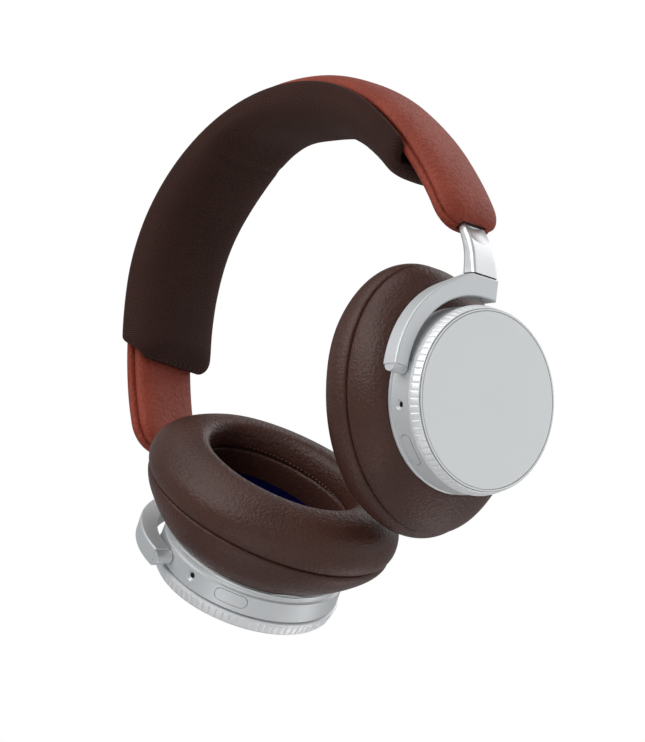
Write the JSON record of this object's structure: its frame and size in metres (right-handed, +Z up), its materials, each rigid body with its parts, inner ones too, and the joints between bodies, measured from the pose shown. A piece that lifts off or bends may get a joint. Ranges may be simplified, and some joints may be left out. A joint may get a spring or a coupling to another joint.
{
  "type": "over-ear headphones",
  "caption": "Over-ear headphones with a padded leather headband, knitted head cushion, sliding arms, single-sided yokes, fluted dial rings and oval leather ear cushions.",
  "frame": {"origin": "where the head cushion rests on the crown of the head, in the middle of the band", "axes": "+Z up, +X to the wearer's right, +Y the way the wearer faces"},
  "size_m": [0.1588, 0.0827, 0.1797],
  "materials": {
    "leather_rust": "pebbled terracotta leather, soft sheen",
    "leather_brown": "fine-grained dark brown leather",
    "knit_brown": "thick ribbed knit",
    "aluminium_satin": "bead-blasted, anodised",
    "aluminium_brushed": "satin with a brushed scoop",
    "aluminium_polished": "bright turned",
    "aluminium_dial": "fluted, bright satin",
    "aluminium_disc": "very fine satin",
    "steel": "plain",
    "plastic_dark": "matte",
    "mesh_dark": "woven mesh",
    "board_green": "solder mask",
    "film": "thin film",
    "cell_wrap": "shrink wrap",
    "cloth_navy": "fine woven cloth"
  },
  "bodies": {
    "headband": {"band_cover": "leather_rust", "band_lining": "leather_rust", "band_core": "plastic_dark", "band_spring": "steel", "cushion_carrier": "plastic_dark", "head_cushion": "knit_brown", "slider_guide_right": "plastic_dark", "detent_leaf_right": "steel", "slider_guide_left": "plastic_dark", "detent_leaf_left": "steel"},
    "arm_right": {"slider_arm_right": "aluminium_brushed", "swivel_pin_right": "steel", "swivel_washer_right": "plastic_dark"},
    "yoke_right": {"yoke_right": "aluminium_satin", "pivot_shaft_right": "steel"},
    "cup_right": {"housing_right": "aluminium_satin", "base_flange_right": "aluminium_polished", "pivot_bush_right": "aluminium_satin", "dial_hub_right": "plastic_dark", "disc_carrier_right": "plastic_dark", "touch_disc_right": "aluminium_disc", "disc_trim_right": "aluminium_polished", "microphone_right": "mesh_dark", "button_switch_right": "plastic_dark", "circuit_board_right": "board_green", "baffle_right": "plastic_dark", "driver_frame_right": "plastic_dark", "driver_magnet_right": "steel", "driver_diaphragm_right": "film", "pad_ring_right": "plastic_dark", "acoustic_cloth_right": "cloth_navy", "ear_cushion_right": "leather_brown", "charging_port_right": "steel"},
    "dial_right": {"dial_ring_right": "aluminium_dial"},
    "button_right": {"pill_button_right": "aluminium_satin"},
    "arm_left": {"slider_arm_left": "aluminium_brushed", "swivel_pin_left": "steel", "swivel_washer_left": "plastic_dark"},
    "yoke_left": {"yoke_left": "aluminium_satin", "pivot_shaft_left": "steel"},
    "cup_left": {"housing_left": "aluminium_satin", "base_flange_left": "aluminium_polished", "pivot_bush_left": "aluminium_satin", "dial_hub_left": "plastic_dark", "disc_carrier_left": "plastic_dark", "touch_disc_left": "aluminium_disc", "disc_trim_left": "aluminium_polished", "microphone_left": "mesh_dark", "button_switch_left": "plastic_dark", "circuit_board_left": "board_green", "baffle_left": "plastic_dark", "driver_frame_left": "plastic_dark", "driver_magnet_left": "steel", "driver_diaphragm_left": "film", "pad_ring_left": "plastic_dark", "acoustic_cloth_left": "cloth_navy", "ear_cushion_left": "leather_brown", "battery_left": "cell_wrap"},
    "dial_left": {"dial_ring_left": "aluminium_dial"},
    "button_left": {"pill_button_left": "aluminium_satin"}
  },
  "joints": [
    {"name": "slider_right", "type": "slide", "parent": "headband", "child": "arm_right", "axis": [0.1564, 0, -0.9877], "range_m": [-0.004, 0.016]},
    {"name": "swivel_right", "type": "hinge", "parent": "arm_right", "child": "yoke_right", "pos_m": [0.07243, 0, -0.09528], "axis": [0.454, 0, 0.891], "range_deg": [-13.5, 76.5]},
    {"name": "tilt_right", "type": "hinge", "parent": "yoke_right", "child": "cup_right", "pos_m": [0.055, 0, -0.1295], "axis": [0.0233, 0.9997, -0.0119], "range_deg": [-21.4, 3.6]},
    {"name": "dial_right", "type": "hinge", "parent": "cup_right", "child": "dial_right", "pos_m": [0.05301, 0.00151, -0.13297], "axis": [0.8622, -0.0261, -0.5059], "continuous": true},
    {"name": "button_right", "type": "slide", "parent": "cup_right", "child": "button_right", "axis": [0.3743, 0.7058, 0.6015], "range_m": [0, 0.0006], "stiffness_N_per_m": 1200, "springref_m": -0.0003},
    {"name": "slider_left", "type": "slide", "parent": "headband", "child": "arm_left", "axis": [-0.1564, 0, -0.9877], "range_m": [-0.004, 0.016]},
    {"name": "swivel_left", "type": "hinge", "parent": "arm_left", "child": "yoke_left", "pos_m": [-0.07243, 0, -0.09528], "axis": [0.454, 0, -0.891], "range_deg": [-31.7, 58.3]},
    {"name": "tilt_left", "type": "hinge", "parent": "yoke_left", "child": "cup_left", "pos_m": [-0.055, 0, -0.1295], "axis": [-0.256, -0.9578, -0.1305], "range_deg": [-15, 10]},
    {"name": "dial_left", "type": "hinge", "parent": "cup_left", "child": "dial_left", "pos_m": [-0.05298, 0.0015, -0.13295], "axis": [0.876, -0.287, 0.3876], "continuous": true},
    {"name": "button_left", "type": "slide", "parent": "cup_left", "child": "button_left", "axis": [-0.1079, 0.6666, 0.7375], "range_m": [0, 0.0006], "stiffness_N_per_m": 1200, "springref_m": -0.0003}
  ]
}
